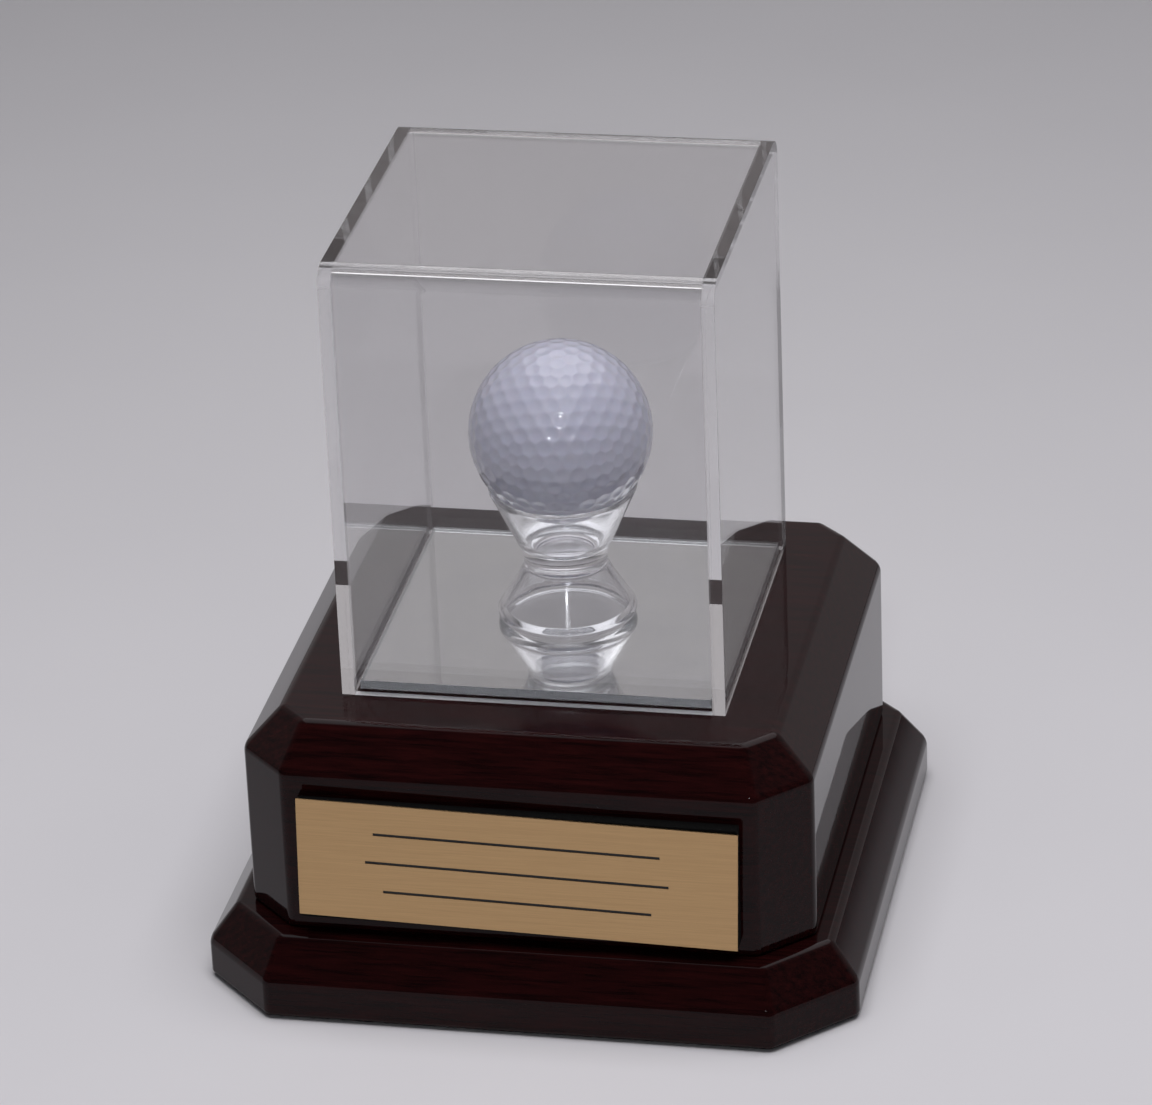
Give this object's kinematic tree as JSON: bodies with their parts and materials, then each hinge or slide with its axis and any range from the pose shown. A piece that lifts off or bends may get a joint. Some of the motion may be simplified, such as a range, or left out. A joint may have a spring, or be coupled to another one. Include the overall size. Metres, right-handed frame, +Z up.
{
  "type": "acrylic display case",
  "caption": "Clear acrylic cover over a mirrored floor and an hourglass stand that holds a golf ball, on a stepped lacquered wooden base with a blank name plate.",
  "frame": {"origin": "middle of the base's underside, on the surface that it stands on", "axes": "+Z up, -Y towards the name plate, which is the front, and +X to the right of someone facing the plate"},
  "size_m": [0.1524, 0.1524, 0.1745],
  "materials": {
    "lacquered_wood": "dark cherry stain under clear high-gloss lacquer",
    "acrylic": "clear, polished",
    "clear_glass": "clear, polished",
    "silvering": "silvered, painted behind",
    "gold_metal": "satin gold anodised sheet",
    "carrier_foam": "black foam",
    "adhesive_foam": "white foam tape",
    "felt": "black felt",
    "screw_steel": "zinc plated",
    "ball_white": "glossy, dimpled",
    "ball_rubber": "plain"
  },
  "bodies": {
    "base": {"plinth": "lacquered_wood", "block": "lacquered_wood", "base_screws": "screw_steel", "felt_base": "felt", "mirror_pads": "adhesive_foam", "mirror_backing": "silvering", "mirror_glass": "clear_glass", "plate_carrier": "carrier_foam", "name_plate": "gold_metal"},
    "cover": {"cover_left_panel": "acrylic", "cover_right_panel": "acrylic", "cover_wrap": "acrylic"},
    "stand": {"ball_stand": "acrylic"},
    "ball": {"ball_core": "ball_rubber", "ball_cover": "ball_white"}
  },
  "joints": [
    {"name": "cover_lift", "type": "slide", "parent": "base", "child": "cover", "axis": [0, 0, 1], "range_m": [0, 0.12]},
    {"name": "stand_lift", "type": "slide", "parent": "base", "child": "stand", "axis": [0, 0, 1], "range_m": [0, 0.012]},
    {"name": "ball_lift", "type": "slide", "parent": "stand", "child": "ball", "axis": [0, 0, 1], "range_m": [0, 0.015]}
  ]
}
